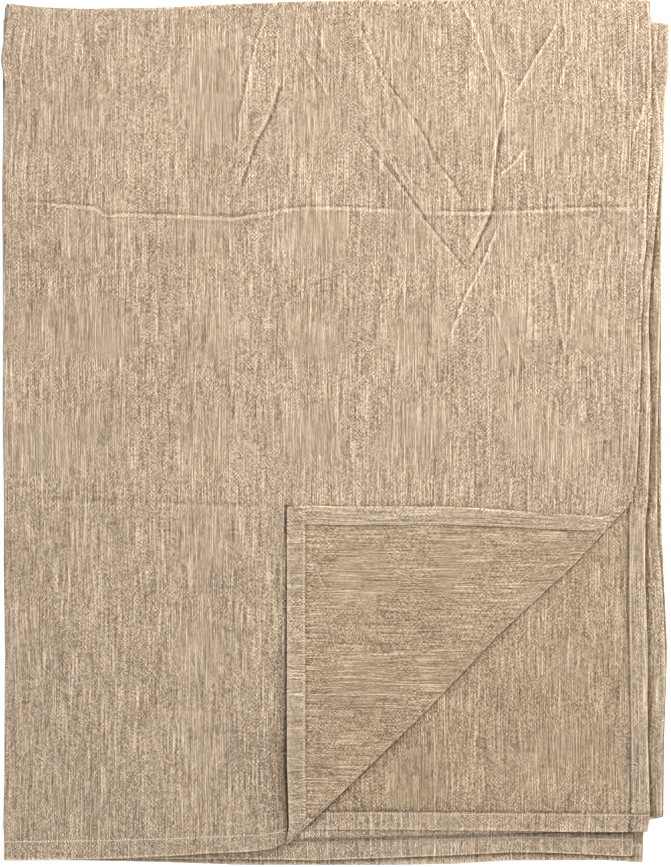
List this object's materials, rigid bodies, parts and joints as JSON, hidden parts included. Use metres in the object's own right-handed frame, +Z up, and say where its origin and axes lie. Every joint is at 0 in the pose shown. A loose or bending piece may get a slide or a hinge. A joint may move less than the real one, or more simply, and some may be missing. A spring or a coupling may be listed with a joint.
{
  "type": "folded tablecloth",
  "caption": "Hemmed slub-woven tablecloth, folded lengthwise and fan-folded into a flat bundle, with a corner of the top leaf turned back; its fan folds open on hinges.",
  "frame": {"origin": "on the resting plane, under the middle of the folded bundle", "axes": "+Z up; +Y towards the two upper fan folds, along the bundle's length; +X towards the open, hemmed sides, away from the lengthwise fold"},
  "size_m": [0.728, 0.939, 0.0147],
  "materials": {
    "cloth_right_side": "washed slub weave, matt",
    "cloth_wrong_side": "washed slub weave, matt, slightly greyer",
    "hem": "three layers of the same cloth, pressed flat",
    "sewing_thread": "spun sewing thread, lighter than the cloth"
  },
  "bodies": {
    "bottom_quarter": {"bottom_quarter_lower_cloth": "cloth_wrong_side", "bottom_quarter_lower_side_hem": "hem", "bottom_quarter_lower_side_seam": "sewing_thread", "bottom_quarter_lower_end_hem": "hem", "bottom_quarter_lower_end_seam": "sewing_thread", "bottom_quarter_upper_cloth": "cloth_right_side", "bottom_quarter_upper_side_hem": "hem", "bottom_quarter_upper_side_seam": "sewing_thread", "bottom_quarter_upper_end_hem": "hem", "bottom_quarter_upper_end_seam": "sewing_thread", "bottom_quarter_long_fold": "cloth_right_side", "lower_top_fold_outer": "cloth_right_side", "lower_top_fold_inner": "cloth_right_side"},
    "third_quarter": {"third_quarter_lower_cloth": "cloth_wrong_side", "third_quarter_lower_side_hem": "hem", "third_quarter_lower_side_seam": "sewing_thread", "third_quarter_upper_cloth": "cloth_right_side", "third_quarter_upper_side_hem": "hem", "third_quarter_upper_side_seam": "sewing_thread", "third_quarter_long_fold": "cloth_right_side", "bottom_fold_outer": "cloth_right_side", "bottom_fold_inner": "cloth_right_side"},
    "second_quarter": {"second_quarter_lower_cloth": "cloth_wrong_side", "second_quarter_lower_side_hem": "hem", "second_quarter_lower_side_seam": "sewing_thread", "second_quarter_upper_cloth": "cloth_right_side", "second_quarter_upper_side_hem": "hem", "second_quarter_upper_side_seam": "sewing_thread", "second_quarter_long_fold": "cloth_right_side", "upper_top_fold_outer": "cloth_right_side", "upper_top_fold_inner": "cloth_right_side"},
    "top_quarter": {"top_quarter_lower_cloth": "cloth_wrong_side", "top_quarter_lower_side_hem": "hem", "top_quarter_lower_side_seam": "sewing_thread", "top_quarter_lower_end_hem": "hem", "top_quarter_lower_end_seam": "sewing_thread", "top_quarter_upper_cloth": "cloth_right_side", "top_quarter_upper_side_hem": "hem", "top_quarter_upper_side_seam": "sewing_thread", "top_quarter_upper_end_hem": "hem", "top_quarter_upper_end_seam": "sewing_thread", "top_quarter_long_fold": "cloth_right_side", "turned_corner_roll": "cloth_right_side"},
    "turned_corner": {"turned_corner_cloth": "cloth_wrong_side", "turned_corner_side_hem": "hem", "turned_corner_side_seam": "sewing_thread", "turned_corner_end_hem": "hem", "turned_corner_end_seam": "sewing_thread"}
  },
  "joints": [
    {"name": "lower_top_fold", "type": "hinge", "parent": "bottom_quarter", "child": "third_quarter", "pos_m": [0, 0.45165, 0.0021], "axis": [-1, 0, 0], "range_deg": [0, 180], "deforming": ["lower_top_fold_outer", "lower_top_fold_inner"]},
    {"name": "bottom_fold", "type": "hinge", "parent": "third_quarter", "child": "second_quarter", "pos_m": [0, -0.4485, 0.00585], "axis": [1, 0, 0], "range_deg": [0, 180], "deforming": ["bottom_fold_outer", "bottom_fold_inner", "top_quarter_upper_end_hem", "top_quarter_upper_end_seam", "bottom_quarter_upper_end_hem", "bottom_quarter_upper_end_seam", "bottom_quarter_lower_end_hem", "bottom_quarter_lower_end_seam"]},
    {"name": "upper_top_fold", "type": "hinge", "parent": "second_quarter", "child": "top_quarter", "pos_m": [0, 0.46965, 0.0096], "axis": [-1, 0, 0], "range_deg": [0, 180], "deforming": ["upper_top_fold_outer", "upper_top_fold_inner"]},
    {"name": "corner_fold", "type": "hinge", "parent": "top_quarter", "child": "turned_corner", "pos_m": [0.1305, -0.2655, 0.0126], "axis": [0.7071, 0.7071, 0], "range_deg": [0, 180], "deforming": ["turned_corner_roll"]}
  ]
}
